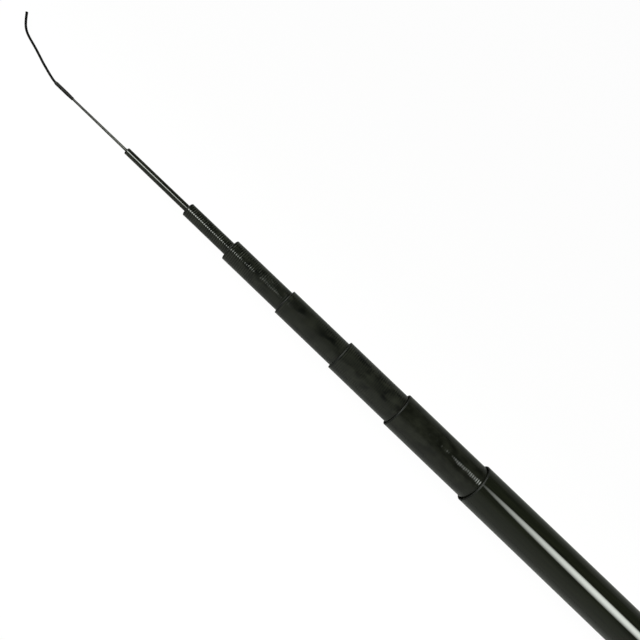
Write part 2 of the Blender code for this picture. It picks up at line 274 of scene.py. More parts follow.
tree, given = shape_tree(
    "braid", Float=("Step", "Lay", "Middle", "Rise", "Strand", "Core", "Flare"), Int=("Strands",)
)
line = {"Curve": given.outputs["Geometry"], "Length": given.outputs["Step"]}
line = add(tree, "GeometryNodeResampleCurve", line, mode="LENGTH")
copies, way, start = copied_both_ways(tree, line, given.outputs["Strands"])
along = add(tree, "GeometryNodeSplineParameter")
lays = {0: along.outputs["Length"], 1: given.outputs["Lay"]}
lays = add(tree, "ShaderNodeMath", lays, operation="DIVIDE")
turn = add(tree, "ShaderNodeMath", {0: lays, 1: math.tau}, operation="MULTIPLY")
start = add(tree, "ShaderNodeMath", {0: start, 1: math.tau}, operation="MULTIPLY")
angle = add(tree, "ShaderNodeMath", {0: turn, 1: way, 2: start}, operation="MULTIPLY_ADD")
over = add(tree, "ShaderNodeMath", {0: turn, 1: given.outputs["Strands"]}, operation="MULTIPLY")
over = add(tree, "ShaderNodeMath", {0: over}, operation="COSINE")
over = add(tree, "ShaderNodeMath", {0: over, 1: way}, operation="MULTIPLY")
reach = {0: over, 1: given.outputs["Rise"], 2: given.outputs["Middle"]}
reach = add(tree, "ShaderNodeMath", reach, operation="MULTIPLY_ADD")
flare = {"Value": along.outputs["Factor"], "From Min": FLARE_START, "From Max": 1.0}
flare.update({"To Min": 1.0, "To Max": given.outputs["Flare"]})
flare = add(tree, "ShaderNodeMapRange", flare, interpolation_type="SMOOTHSTEP")
reach = add(tree, "ShaderNodeMath", {0: reach, 1: flare}, operation="MULTIPLY")
out_one = add(tree, "GeometryNodeInputNormal").outputs["Normal"]
tangent = add(tree, "GeometryNodeInputTangent")
out_two = add(tree, "ShaderNodeVectorMath", {0: tangent, 1: out_one}, operation="CROSS_PRODUCT")
offset = None
for trade, direction in (("COSINE", out_one), ("SINE", out_two)):
    share = add(tree, "ShaderNodeMath", {0: angle}, operation=trade)
    share = add(tree, "ShaderNodeMath", {0: share, 1: reach}, operation="MULTIPLY")
    step = add(tree, "ShaderNodeVectorMath", {0: direction, "Scale": share}, operation="SCALE")
    if offset:
        step = add(tree, "ShaderNodeVectorMath", {0: offset, 1: step}, operation="ADD")
    offset = step
laid = add(tree, "GeometryNodeSetPosition", {"Geometry": copies, "Offset": offset})
line_place = {"X": along.outputs["Length"], "Y": copies.outputs["Duplicate Index"]}
line_place = add(tree, "ShaderNodeCombineXYZ", line_place)
ring = {"Resolution": STRAND_SIDES, "Radius": given.outputs["Strand"]}
ring = add(tree, "GeometryNodeCurvePrimitiveCircle", ring)
ring_place = add(tree, "GeometryNodeInputPosition")
marked = []
for curve, name, place in ((laid, "strand_line", line_place), (ring, "strand_round", ring_place)):
    mark = {"Geometry": curve, "Name": name, "Value": place}
    mark = add(tree, "GeometryNodeStoreNamedAttribute", mark, data_type="FLOAT_VECTOR")
    marked.append(mark)
core_ring = {"Resolution": CORE_SIDES, "Radius": given.outputs["Core"]}
core_ring = add(tree, "GeometryNodeCurvePrimitiveCircle", core_ring)
strands, core = (
    add(tree, "GeometryNodeCurveToMesh", {"Curve": run, "Profile Curve": around, "Fill Caps": True})
    for run, around in (marked, (line, core_ring))
)
bead = {"Segments": 20, "Rings": 12, "Radius": given.outputs["Middle"]}
bead = add(tree, "GeometryNodeMeshUVSphere", bead)
last = add(tree, "GeometryNodeCurveEndpointSelection", {"Start Size": 0, "End Size": 1})
bead_turn = add(tree, "FunctionNodeAlignRotationToVector", {"Vector": tangent}, axis="Z")
bead_place = {"Points": line, "Selection": last, "Instance": bead, "Rotation": bead_turn}
bead_place = add(tree, "GeometryNodeInstanceOnPoints", {**bead_place, "Scale": BEAD_STRETCH})
end_tree(tree, (strands, core, bead_place), braided_nylon)

guide = []
for x, y, left in ROUTE:
    drop = (1 - left) * (LYING_DROP - NOSE_DIP * x * MM)
    guide.append(Vector((rod_front + x * MM, y * MM, axis_height - drop)))
lilian_line = [Vector(smooth_point(guide, k / ROUTE_STEPS)) for k in range(ROUTE_STEPS + 1)]
lilian_line.insert(0, Vector((rod_front - INSIDE_SLEEVE, 0.0, axis_height)))
route_curve = bpy.data.curves.new("lilian_line", "CURVE")
route_curve.dimensions = "3D"
spline = route_curve.splines.new("POLY")
spline.points.add(len(lilian_line) - 1)
for point, co in zip(spline.points, lilian_line):
    point.co = (*co, 1.0)
mesh = grown(
    tree,
    route_curve,
    step=0.11 * MM,
    strands=STRANDS_EACH_WAY,
    lay=3.9 * MM,
    middle=0.51 * MM,
    rise=0.11 * MM,
    strand=0.2 * MM,
    core=0.48 * MM,
    flare=1.06,
)
braid = piece("lilian_braid", mesh, "tip", ["lilian"], sharp=80)

# Sleeve over the tip and the lilian
# Thin heat-shrink tube, shrunk hard over the joint. It thins out along the tip at its back, and its blunt
# front end reaches past the solid tip and closes on the braid.
THIN_SIDES = 48
SLEEVE_WALL = 0.25 * MM
SLEEVE_EDGE = 0.1 * MM  # how thick it is at its two ends
SLEEVE_BACK_TAPER = 4.5 * MM
SLEEVE_FRONT_TAPER = 1.2 * MM
TAPER_STEPS = 8


def turned(profile, material, sides=96, reach=None):
    """Turn (x, radius) points about the rod's axis: a closed loop, or a line from axis to axis.

    Where reach is given, it returns the radius for (x, radius, angle), the angle from +Y towards +Z.
    """
    bm = bmesh.new()
    poles = {i: bm.verts.new((x, 0.0, axis_height)) for i, (x, r) in enumerate(profile) if r == 0}
    columns = []
    for k in range(sides):
        angle = math.tau * k / sides
        column = []
        for i, (x, r) in enumerate(profile):
            if i in poles:
                column.append(poles[i])
                continue
            r = reach(x, r, angle) if reach else r
            column.append(bm.verts.new((x, r * math.cos(angle), axis_height + r * math.sin(angle))))
        columns.append(column)
    for one, two in zip(columns, columns[1:] + columns[:1]):
        for i in range(len(profile)):
            corners = list(dict.fromkeys((one[i - 1], one[i], two[i], two[i - 1])))
            if len(corners) > 2:
                bm.faces.new(corners)
    mesh = bpy.data.meshes.new("turned")
    bm.to_mesh(mesh)
    bm.free()
    mesh.materials.append(material)
    return mesh


def radius_of(node, sides=32):
    """Radius of a turned CAD node whose facets start half a facet off the vertical."""
    low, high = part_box(node)
    return (high.y - low.y) / 2 / math.cos(math.pi / sides)


def arc(x, radius, size, start, end, steps=6):
    """Points round a corner, its angles in degrees counted from +x towards the outside."""
    angles = [math.radians(start + (end - start) * k / steps) for k in range(steps + 1)]
    return [(x + size * math.cos(a), radius + size * math.sin(a)) for a in angles]


def object_noise(tree, size, stretch=(1.0, 1.0, 1.0), detail=3.0):
    """Noise whose grains are about that large on the object, stretched by these factors."""
    place = add(tree, "ShaderNodeTexCoord").outputs["Object"]
    scale = tuple(1 / (size * share) for share in stretch)
    place = add(tree, "ShaderNodeVectorMath", {0: place, 1: scale}, operation="MULTIPLY")
    return add(tree, "ShaderNodeTexNoise", {"Vector": place, "Scale": 1.0, "Detail": detail})


# Polyolefin tube, satin black. Shrinking leaves it with soft wrinkles about 1 mm apart.
shrunk_tube, tree, shader = finish("shrunk_polyolefin", Roughness=0.5, Specular_IOR_Level=0.15)
wrinkles = object_noise(tree, 0.9 * MM)
shaded(tree, shader, wrinkles, (0.3, "#050505"), (0.7, "#0f0f0e"))
raised(tree, shader, wrinkles, 0.05 * MM)

sleeve_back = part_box("lilian_sleeve")[0].x
sleeve_radius = radius_of("lilian_sleeve", 24)
sleeve_bore = sleeve_radius - SLEEVE_WALL
sleeve_lip = sleeve_bore + SLEEVE_EDGE
tapers = []
for share in (k / TAPER_STEPS for k in range(TAPER_STEPS + 1)):
    rise = share * share * (3 - 2 * share)
    tapers.append((share, sleeve_lip + (sleeve_radius - sleeve_lip) * rise))
profile = [(sleeve_back, sleeve_bore)]
profile += [(sleeve_back + SLEEVE_BACK_TAPER * share, r) for share, r in tapers]
profile += [(rod_front - SLEEVE_FRONT_TAPER * share, r) for share, r in reversed(tapers)]
profile += [(rod_front, sleeve_bore)]
mesh = turned(profile, shrunk_tube, THIN_SIDES)
piece("tail_sleeve", mesh, "tip", ["lilian_sleeve"])

# Tip
# A solid, pultruded carbon rod, ground to a fine taper and left without lacquer. Grinding leaves it grey,
# with rings that a fine wheel cut, and its colour is darker towards the sleeve.
TIP_RADIUS = 0.72 * MM  # of the stretch inside the sleeve
TIP_MOUTH_RADIUS = 0.88 * MM  # where it comes out of section 2
TIP_BASE_CHAMFER = 0.2 * MM
TIP_FADE = 45.0 * MM  # over which its grey darkens towards the sleeve

# Ground carbon: a silky grey, lighter towards the mouth. The wheel's marks are about 0.1 mm apart, and
# drawn 0.6 mm apart, so that they show.
ground_carbon, tree, shader = finish("ground_solid_carbon", Roughness=0.36, Specular_IOR_Level=0.35)
place = add(tree, "ShaderNodeTexCoord").outputs["Object"]
along = add(tree, "ShaderNodeSeparateXYZ", {"Vector": place}).outputs["X"]
tone = {"Value": along, "From Min": sleeve_back - TIP_FADE, "From Max": sleeve_back}
tone = add(tree, "ShaderNodeMapRange", {**tone, "To Min": 1.0, "To Max": 0.0})
marks = object_noise(tree, 0.6 * MM, (1.0, 40.0, 40.0))
tone = add(tree, "ShaderNodeMath", {0: marks, 1: 0.25, 2: tone}, operation="MULTIPLY_ADD")
shaded(tree, shader, tone, (0.0, "#161615"), (0.5, "#1f1f1d"), (1.0, "#3a3a38"))
raised(tree, shader, marks, 0.004 * MM)

tip_base, tip_end = (corner.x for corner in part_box("tip_blank"))
tip_base_radius = radius_of("tip_blank", 24)
profile = [
    (tip_base, 0.0),
    (tip_base, tip_base_radius - TIP_BASE_CHAMFER),
    (tip_base + TIP_BASE_CHAMFER, tip_base_radius),
    (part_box("mouth_ring_2")[1].x, TIP_MOUTH_RADIUS),
    (sleeve_back, TIP_RADIUS),
    (tip_end, TIP_RADIUS),
    (tip_end, 0.0),
]
mesh = turned(profile, ground_carbon, THIN_SIDES)
piece("tip_rod", mesh, "tip", ["tip_blank"])

# Wound tubes, sections 2 to 7
# Carbon cloth rolled on a tapered steel mandrel, bound tightly with tape and baked. The tape is peeled
# off and leaves fine ridges in the resin, nearly square to the tube, which aren't sanded away.
TUBE_SIDES = 128
TAPE_PITCH = 1.4 * MM
WALLS = {2: 0.6 * MM, 3: 0.7 * MM, 4: 0.8 * MM, 5: 0.8 * MM, 6: 0.9 * MM, 7: 0.9 * MM, 8: 1.0 * MM}
RIM_BLOCK = 0.5 * MM  # how thick the lacquer stands on the tube's end
HAIR = 0.001 * MM  # less than any step in a shape

tree, given = shape_tree(
    "wound_tube",
    Float=("Base", "Mouth", "Base Radius", "Mouth Radius", "Wall", "Height"),
    Int=("Sides",),
    Material=("Finish",),
)
corners = []
for radius, end in (("Base Radius", "Base"), ("Mouth Radius", "Mouth")):
    back_x = add(tree, "ShaderNodeMath", {0: given.outputs[end], 1: -1.0}, operation="MULTIPLY")
    outside = given.outputs[radius]
    bore = add(tree, "ShaderNodeMath", {0: outside, 1: given.outputs["Wall"]}, operation="SUBTRACT")
    for reach in (outside, bore):
        corners.append(add(tree, "ShaderNodeCombineXYZ", {"X": reach, "Y": back_x}))
section = add(
    tree,
    "GeometryNodeCurvePrimitiveQuadrilateral",
    {"Point 1": corners[0], "Point 2": corners[2], "Point 3": corners[3], "Point 4": corners[1]},
    mode="POINTS",
)
# The wall's section stands at its true radius, so the circle that it is led round is next to nothing.
shape = {"Resolution": given.outputs["Sides"], "Radius": HAIR}
circle = add(tree, "GeometryNodeCurvePrimitiveCircle", shape)
swept = add(tree, "GeometryNodeCurveToMesh", {"Curve": circle, "Profile Curve": section})
to_axis = add(tree, "ShaderNodeCombineXYZ", {"Z": given.outputs["Height"]})
lay = {"Geometry": swept, "Translation": to_axis, "Rotation": (0.0, math.pi / 2, 0.0)}
laid = add(tree, "GeometryNodeTransform", lay)
end_tree(tree, (laid,), given.outputs["Finish"])
tube_tree = tree
nothing = bpy.data.meshes.new("nothing")


def tube_piece(name, number, node, body, material):
    """A tapered tube from its base to just inside its rim, sized by its CAD node and its mouth ring."""
    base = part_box(node)[0].x
    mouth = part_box(f"mouth_ring_{number}")[1].x
    base_radius = radius_of(node)
    mouth_radius = radius_of(f"mouth_ring_{number}")
    front = mouth - RIM_BLOCK
    front_radius = base_radius + (mouth_radius - base_radius) * (front - base) / (mouth - base)
    mesh = grown(
        tube_tree,
        nothing,
        base=base,
        mouth=front,
        base_radius=base_radius,
        mouth_radius=front_radius,
        wall=WALLS[number],
        sides=TUBE_SIDES,
        height=axis_height,
        finish=material,
    )
    piece(name, mesh, body, [node])


def round_the_tube(tree):
    """Where a point is round the rod's axis, in turns, and its x."""
    place = add(tree, "ShaderNodeTexCoord").outputs["Object"]
    place = add(tree, "ShaderNodeSeparateXYZ", {"Vector": place})
    up = add(tree, "ShaderNodeMath", {0: place.outputs["Z"], 1: axis_height}, operation="SUBTRACT")
    angle = add(tree, "ShaderNodeMath", {0: place.outputs["Y"], 1: up}, operation="ARCTAN2")
    turns = add(tree, "ShaderNodeMath", {0: angle, 1: math.tau}, operation="DIVIDE")
    return turns, place.outputs["X"]


# Carbon in epoxy, near black with a slight olive tint. The ridges break the light into short ticks, and
# the fibres, which run lengthwise, show as faint streaks. A fibre is 0.007 mm, so only bundles show.
# In patches, the colour is painted paler on the tape's edges and darker between them: painted glints and
# shade of the ridges.
TAPE_EDGE = {"From Min": 0.87, "From Max": 0.99}  # of the swell's rise, where the narrow ridge stands
IN_PATCHES = {"From Min": 0.35, "From Max": 0.65}  # of the noise, from no ridge to a full one
RIDGES = {
    # height of the swell between the tape's edges, height of the narrow ridges at them, roughness,
    # strength of the painted glints and shade along the ridges, darkest and palest shade
    2: (0.002 * MM, 0.002 * MM, 0.12, 0.0, "#070805", "#181914"),
    3: (0.020 * MM, 0.032 * MM, 0.12, 0.5, "#030403", "#1f201b"),
    4: (0.022 * MM, 0.036 * MM, 0.12, 0.45, "#030403", "#1f201b"),
    5: (0.012 * MM, 0.014 * MM, 0.17, 0.45, "#030403", "#1f201b"),
    6: (0.012 * MM, 0.008 * MM, 0.18, 0.4, "#030403", "#1f201b"),
    7: (0.026 * MM, 0.004 * MM, 0.03, 0.0, "#070805", "#181914"),
}
for number, (swell, ridge, roughness, painted_ridge_glints, darkest, palest) in RIDGES.items():
    wound_carbon, tree, shader = finish(f"wound_carbon_{number}", Roughness=roughness)
    turns, x = round_the_tube(tree)
    windings = add(tree, "ShaderNodeMath", {0: x, 1: 1 / TAPE_PITCH, 2: turns}, operation="MULTIPLY_ADD")
    phase = add(tree, "ShaderNodeMath", {0: windings, 1: math.tau}, operation="MULTIPLY")
    wave = add(tree, "ShaderNodeMath", {0: phase}, operation="SINE")
    uneven = object_noise(tree, 4.0 * MM, detail=1.0)
    swelling = add(tree, "ShaderNodeMath", {0: wave, 1: uneven}, operation="MULTIPLY")
    swelling = add(tree, "ShaderNodeMath", {0: swelling, 1: swell}, operation="MULTIPLY")
    edge = {"Value": wave, **TAPE_EDGE}
    edge = add(tree, "ShaderNodeMapRange", edge, interpolation_type="SMOOTHSTEP")
    patches = add(tree, "ShaderNodeMapRange", {"Value": uneven, **IN_PATCHES})
    height = add(tree, "ShaderNodeMath", {0: edge, 1: patches}, operation="MULTIPLY")
    height = add(tree, "ShaderNodeMath", {0: height, 1: ridge, 2: swelling}, operation="MULTIPLY_ADD")
    streaks = object_noise(tree, 0.5 * MM, (30.0, 1.0, 1.0))
    stains = object_noise(tree, 5.0 * MM, (1.5, 1.0, 1.0), detail=4.0)
    tone = add(tree, "ShaderNodeMath", {0: streaks, 1: 0.4, 2: stains}, operation="MULTIPLY_ADD")
    # Painted glints and shade: in patches the colour follows the ridges' wave, paler on each tape edge and
    # darker between.
    painted_glints_and_shade = add(tree, "ShaderNodeMath", {0: wave, 1: patches}, operation="MULTIPLY")
    tone = add(tree, "ShaderNodeMath", {0: painted_glints_and_shade, 1: painted_ridge_glints, 2: tone}, operation="MULTIPLY_ADD")
    shaded(tree, shader, tone, (0.55, darkest), (0.87, palest))
    grain = raised(tree, shader, streaks, 0.003 * MM)
    raised(tree, shader, height, 1.0, grain)
    node, body = f"section_{number}", f"tube_{number}"
    tube_piece(f"wound_tube_{number}", number, node, body, wound_carbon)

# Butt tube
# The outermost section is sanded smooth, sprayed with a clear two-part coat and left glossy. Its back end
# carries the ferrule and the grip.

# Clear-coated carbon: deep black under a wet gloss, with the slight waviness of a sprayed coat.
under_coat = {"Roughness": 0.45, "Specular_IOR_Level": 0.0}
coat = {"Coat_Weight": 1.0, "Coat_Roughness": 0.05, "Coat_IOR": 1.5}
coated_carbon, tree, shader = finish("clear_coated_carbon", **under_coat, **coat)
streaks = object_noise(tree, 0.7 * MM, (30.0, 1.0, 1.0))
shaded(tree, shader, streaks, (0.3, "#090b07"), (0.7, "#12140c"))
waves = object_noise(tree, 5.0 * MM, (2.0, 1.0, 1.0), detail=1.0)
raised(tree, shader, waves, 0.01 * MM)
coat_waves = add(tree, "ShaderNodeBump", {"Distance": 0.01 * MM, "Height": waves})
tree.links.new(coat_waves.outputs["Normal"], shader.inputs["Coat Normal"])
tube_piece("coated_tube", 8, "butt_section", "butt", coated_carbon)

# Rims at the mouths
# Each tube's cut end is closed and strengthened with black lacquer, brushed on thickly. It laps a little
# way over the outside, and surface tension rounds its nose.
RIM_LENGTH = 0.8 * MM
RIM_SKIN = 0.03 * MM
RIM_NOSE = 0.45  # radius of its nose, as a share of the wall

# Lacquer filled with carbon black: deep black with a dull shine, slightly uneven from the brush.
lacquer, tree, shader = finish("brushed_black_lacquer", Roughness=0.5, Specular_IOR_Level=0.3)
brush = object_noise(tree, 1.2 * MM)
shaded(tree, shader, brush, (0.3, "#040404"), (0.7, "#0a0a09"))
raised(tree, shader, brush, 0.02 * MM)

for number in range(2, 9):
    node = f"mouth_ring_{number}"
    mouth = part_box(node)[1].x
    radius = radius_of(node)
    wall = WALLS[number]
    nose = RIM_NOSE * wall
    profile = [(mouth - RIM_LENGTH, radius), (mouth - 0.9 * RIM_LENGTH, radius + 0.7 * RIM_SKIN)]
    profile += arc(mouth - nose, radius + RIM_SKIN - nose, nose, 90, 0)
    profile += arc(mouth - nose, radius - wall + nose, nose, 0, -90)
    profile += [(mouth - RIM_BLOCK, radius - wall), (mouth - RIM_BLOCK, radius)]
    mesh = turned(profile, lacquer)
    body = f"tube_{number}" if number < 8 else "butt"
    piece(f"lacquered_rim_{number}", mesh, body, [node])

# Grip
# A rubber tube with a raised lattice, shrunk over the butt where it is held. Its ends are plain bands.
GRIP_WALL = 1.0 * MM
GRIP_EDGE = 0.6 * MM
RIB_HEIGHT = 0.35 * MM
RIB_WIDTH = 1.3 * MM
RIB_SHOULDER = 0.45  # half width of its top, as a share of its foot's
RIB_SUNK = 0.4  # how deep its foot is in the skin, as a share of its height
RIB_STARTS = 14  # each way round
RIB_RISE = 105.0 * MM  # along the grip for a whole turn
RIB_STEP = 1.6 * MM
END_BAND = 7.0 * MM
BAND_STEP = 0.5 * MM  # along the grip, from a band down to the skin
SKIN_STEPS = 24
FIT = 0.15 * MM  # gap between pieces that are put together


def out_from_axis(tree):
    """How far a point is from the rod's axis."""
    place = add(tree, "ShaderNodeTexCoord").outputs["Object"]
    axis = (0.0, 0.0, axis_height)
    across = add(tree, "ShaderNodeVectorMath", {0: place, 1: axis}, operation="SUBTRACT")
    across = add(tree, "ShaderNodeVectorMath", {0: across, 1: (0.0, 1.0, 1.0)}, operation="MULTIPLY")
    return add(tree, "ShaderNodeVectorMath", {0: across}, operation="LENGTH").outputs["Value"]


# Heat-shrunk rubber, matt black. The lattice is worn a little smoother than the hollows, which hold a
# trace of dust.
HOLLOW_TO_RIB = {"From Min": 15.0 * MM, "From Max": 15.45 * MM}  # from the axis
HOLLOW_ROUGHNESS = 0.72
WORN_SMOOTHER = 0.16
grip_rubber, tree, shader = finish("shrunk_grip_rubber", Specular_IOR_Level=0.4)
grain = object_noise(tree, 0.5 * MM)
proud = add(tree, "ShaderNodeMapRange", {"Value": out_from_axis(tree), **HOLLOW_TO_RIB})
wear = {0: proud, 1: -WORN_SMOOTHER, 2: HOLLOW_ROUGHNESS}
wear = add(tree, "ShaderNodeMath", wear, operation="MULTIPLY_ADD")
tree.links.new(wear.outputs[0], shader.inputs["Roughness"])
tone = add(tree, "ShaderNodeMath", {0: grain, 1: proud}, operation="MULTIPLY")
shaded(tree, shader, tone, (0.0, "#1c1c1b"), (0.6, "#121212"))
raised(tree, shader, grain, 0.03 * MM)

tree, given = shape_tree(
    "shrunk_lattice",
    Float=("Back", "Front", "Back Radius", "Front Radius", "Rise", "Rib Width", "Rib Height", "Height"),
    Int=("Starts",),
    Material=("Finish",),
)
back = add(tree, "ShaderNodeCombineXYZ", {"X": given.outputs["Back"]})
front = add(tree, "ShaderNodeCombineXYZ", {"X": given.outputs["Front"]})
line = add(tree, "GeometryNodeCurvePrimitiveLine", {"Start": back, "End": front})
line = add(tree, "GeometryNodeResampleCurve", {"Curve": line, "Length": RIB_STEP}, mode="LENGTH")
copies, way, start = copied_both_ways(tree, line, given.outputs["Starts"])
along = add(tree, "GeometryNodeSplineParameter")
turns = {0: along.outputs["Length"], 1: given.outputs["Rise"]}
turns = add(tree, "ShaderNodeMath", turns, operation="DIVIDE")
turns = add(tree, "ShaderNodeMath", {0: turns, 1: way}, operation="MULTIPLY")
turns = add(tree, "ShaderNodeMath", {0: turns, 1: start}, operation="ADD")
angle = add(tree, "ShaderNodeMath", {0: turns, 1: math.tau}, operation="MULTIPLY")
reach = {"To Min": given.outputs["Back Radius"], "To Max": given.outputs["Front Radius"]}
reach = add(tree, "ShaderNodeMapRange", {"Value": along.outputs["Factor"], **reach})
shares = [add(tree, "ShaderNodeMath", {0: angle}, operation=trade) for trade in ("COSINE", "SINE")]
outward = add(tree, "ShaderNodeCombineXYZ", {"Y": shares[0], "Z": shares[1]})
step = add(tree, "ShaderNodeVectorMath", {0: outward, "Scale": reach}, operation="SCALE")
wound = add(tree, "GeometryNodeSetPosition", {"Geometry": copies, "Offset": step})
faced = add(tree, "GeometryNodeSetCurveNormal", {"Curve": wound, "Normal": outward}, mode="FREE")
top = given.outputs["Rib Height"]
foot = add(tree, "ShaderNodeMath", {0: top, 1: -RIB_SUNK}, operation="MULTIPLY")
half_width = add(tree, "ShaderNodeMath", {0: given.outputs["Rib Width"], 1: 0.5}, operation="MULTIPLY")
shoulder = add(tree, "ShaderNodeMath", {0: half_width, 1: RIB_SHOULDER}, operation="MULTIPLY")
corners = []
for up, half in ((foot, half_width), (top, shoulder)):
    for sign in (-1.0, 1.0):
        side = add(tree, "ShaderNodeMath", {0: half, 1: sign}, operation="MULTIPLY")
        corners.append(add(tree, "ShaderNodeCombineXYZ", {"X": up, "Y": side}))
rib = add(
    tree,
    "GeometryNodeCurvePrimitiveQuadrilateral",
    {"Point 1": corners[0], "Point 2": corners[1], "Point 3": corners[3], "Point 4": corners[2]},
    mode="POINTS",
)
sweep = {"Curve": faced, "Profile Curve": rib, "Fill Caps": True}
ribs = add(tree, "GeometryNodeCurveToMesh", sweep)
to_axis = add(tree, "ShaderNodeCombineXYZ", {"Z": given.outputs["Height"]})
laid = add(tree, "GeometryNodeTransform", {"Geometry": ribs, "Translation": to_axis})
end_tree(tree, (laid,), given.outputs["Finish"])

grip_back, grip_front = (corner.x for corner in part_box("grip_sleeve"))
butt_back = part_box("butt_section")[0].x
butt_radius = radius_of("butt_section")
butt_taper = (butt_radius - radius_of("mouth_ring_8")) / (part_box("mouth_ring_8")[1].x - butt_back)


def grip_radius(x):
    """Outside of the grip's bands at x."""
    return butt_radius - butt_taper * (x - butt_back) + FIT + GRIP_WALL


def lattice_base(x):
    """Outside of the skin between the ribs at x."""
    return grip_radius(x) - RIB_HEIGHT


lattice_back = grip_back + END_BAND
lattice_front = grip_front - END_BAND
profile = [(grip_back, grip_radius(grip_back) - GRIP_WALL)]
profile += arc(grip_back + GRIP_EDGE, grip_radius(grip_back) - GRIP_EDGE, GRIP_EDGE, 180, 90)
profile += [
    (lattice_back, grip_radius(lattice_back)),
    (lattice_back + BAND_STEP, lattice_base(lattice_back)),
]
first = lattice_back + 2 * BAND_STEP
last = lattice_front - 2 * BAND_STEP
for k in range(SKIN_STEPS + 1):
    x = first + (last - first) * k / SKIN_STEPS
    profile.append((x, lattice_base(x)))
profile += [
    (lattice_front - BAND_STEP, lattice_base(lattice_front)),
    (lattice_front, grip_radius(lattice_front)),
]
profile += arc(grip_front - GRIP_EDGE, grip_radius(grip_front) - GRIP_EDGE, GRIP_EDGE, 90, 0)
profile += [(grip_front, grip_radius(grip_front) - GRIP_WALL)]
mesh = turned(profile, grip_rubber, TUBE_SIDES)
piece("grip_skin", mesh, "butt", ["grip_sleeve"])
mesh = grown(
    tree,
    nothing,
    back=lattice_back,
    front=lattice_front,
    back_radius=lattice_base(lattice_back),
    front_radius=lattice_base(lattice_front),
    starts=RIB_STARTS,
    rise=RIB_RISE,
    rib_width=RIB_WIDTH,
    rib_height=RIB_HEIGHT,
    height=axis_height,
    finish=grip_rubber,
)
piece("grip_lattice", mesh, "butt")

# Ferrule
# A threaded aluminium insert, glued into the butt's back end. Its flange covers the cut end of the tube,
# and the sections can be drawn out through it when the cap is off.
FERRULE_WALL = 1.0 * MM
FERRULE_GLUE = 0.2 * MM
FERRULE_FLANGE = 2.0 * MM
FERRULE_CHAMFER = 0.25 * MM
FLANGE_EDGE = 0.05 * MM
THREAD_PITCH = 2.0 * MM
THREAD_CREST = 0.5 * MM
THREAD_REACH = 0.35 * MM
THREAD_SLOPE = 0.55  # sideways run of a flank for its height
THREAD_TURNS = 3.0
THREAD_CLEARANCE = 0.2 * MM
THREAD_FADE = 0.125  # of a turn, over which the ridge rises at its two ends
THREAD_ROW = 0.1 * MM
GROOVED_TURNS = THREAD_TURNS + 2.5  # how far in, from the bore's back end, the fine rows reach

flange_back, ferrule_front = (corner.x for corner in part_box("butt_ferrule"))
flange_radius = radius_of("butt_ferrule", 48)
ferrule_outer = flange_radius - WALLS[8] - FERRULE_GLUE
ferrule_bore = ferrule_outer - FERRULE_WALL
ridge_start = flange_back + THREAD_PITCH / 2
ridge_crest = ferrule_bore + THREAD_REACH


def thread_reach(x, angle, first, last, crest_width, height, fade=0.0):
    """Height of a right-hand thread at x and an angle: 0 between its turns, full on a crest."""
    turn = angle / math.tau
    nearest = round((x - ridge_start) / THREAD_PITCH - turn) + turn
    if not first <= nearest <= last:
        return 0.0
    if fade:
        height *= min(1.0, (nearest - first) / fade, (last - nearest) / fade)
    away = abs(x - ridge_start - THREAD_PITCH * nearest) - crest_width / 2
    return min(height, max(0.0, height - away / THREAD_SLOPE))


def groove_reach(x, r, angle):
    """The ferrule's bore with the groove cut in it, a turn longer at each end than the cap's ridge."""
    if r > ferrule_bore + HAIR:
        return r
    depth = THREAD_REACH + THREAD_CLEARANCE
    width = THREAD_CREST + 2 * FIT - 2 * THREAD_SLOPE * THREAD_CLEARANCE
    return r + thread_reach(x, angle, -1.0, THREAD_TURNS + 1.0, width, depth)


# Turned aluminium, bare and bright, with the fine rings of the lathe. They are 0.05 mm apart, and drawn
# 0.25 mm apart, so that they show.
turned_aluminium, tree, shader = finish("turned_aluminium", Metallic=1.0, Roughness=0.27)
rings = object_noise(tree, 0.25 * MM, (1.0, 60.0, 60.0))
shaded(tree, shader, rings, (0.3, "#b4b4b2"), (0.7, "#c6c6c4"))
raised(tree, shader, rings, 0.004 * MM)

flange_front = flange_back + FERRULE_FLANGE
profile = [
    (flange_back, flange_radius - FERRULE_CHAMFER),
    (flange_back + FERRULE_CHAMFER, flange_radius),
    (flange_front - FLANGE_EDGE, flange_radius),
    (flange_front, flange_radius - FLANGE_EDGE),
    (flange_front, ferrule_outer),
    (ferrule_front, ferrule_outer),
    (ferrule_front, ferrule_bore),
]
rows = round(GROOVED_TURNS * THREAD_PITCH / THREAD_ROW)
profile += [(flange_back + THREAD_ROW * k, ferrule_bore) for k in range(rows, -1, -1)]
mesh = turned(profile, turned_aluminium, reach=groove_reach)
piece("threaded_ferrule", mesh, "butt", ["butt_ferrule"], sharp=28)

# Seal and cushion
# The seal is a rubber ring between cap and ferrule. The cushion is pressed into the cap's cup, and the
# closed sections stand on it without a rattle. Both come off with the cap.
PAD_LENGTH = 3.0 * MM
PAD_EDGE = 0.4 * MM
STEM_STEP = 2.5 * MM  # from the pad's radius to its stem's
VENT_RADIUS = 1.2 * MM

# Moulded rubber, matt black, with the bloom that it gets with age.
moulded_rubber, tree, shader = finish("moulded_rubber", Roughness=0.68, Specular_IOR_Level=0.4)
bloom = object_noise(tree, 1.5 * MM)
shaded(tree, shader, bloom, (0.3, "#101010"), (0.7, "#1c1c1b"))
raised(tree, shader, bloom, 0.02 * MM)

seal_low, seal_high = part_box("cap_seal")
seal_middle = (seal_low.x + seal_high.x) / 2
seal_size = (seal_high.x - seal_low.x) / 2
profile = arc(seal_middle, ferrule_bore + seal_size, seal_size, 0, 345, 23)
mesh = turned(profile, moulded_rubber)
piece("seal_ring", mesh, "cap_inner", ["cap_seal"], sharp=60)

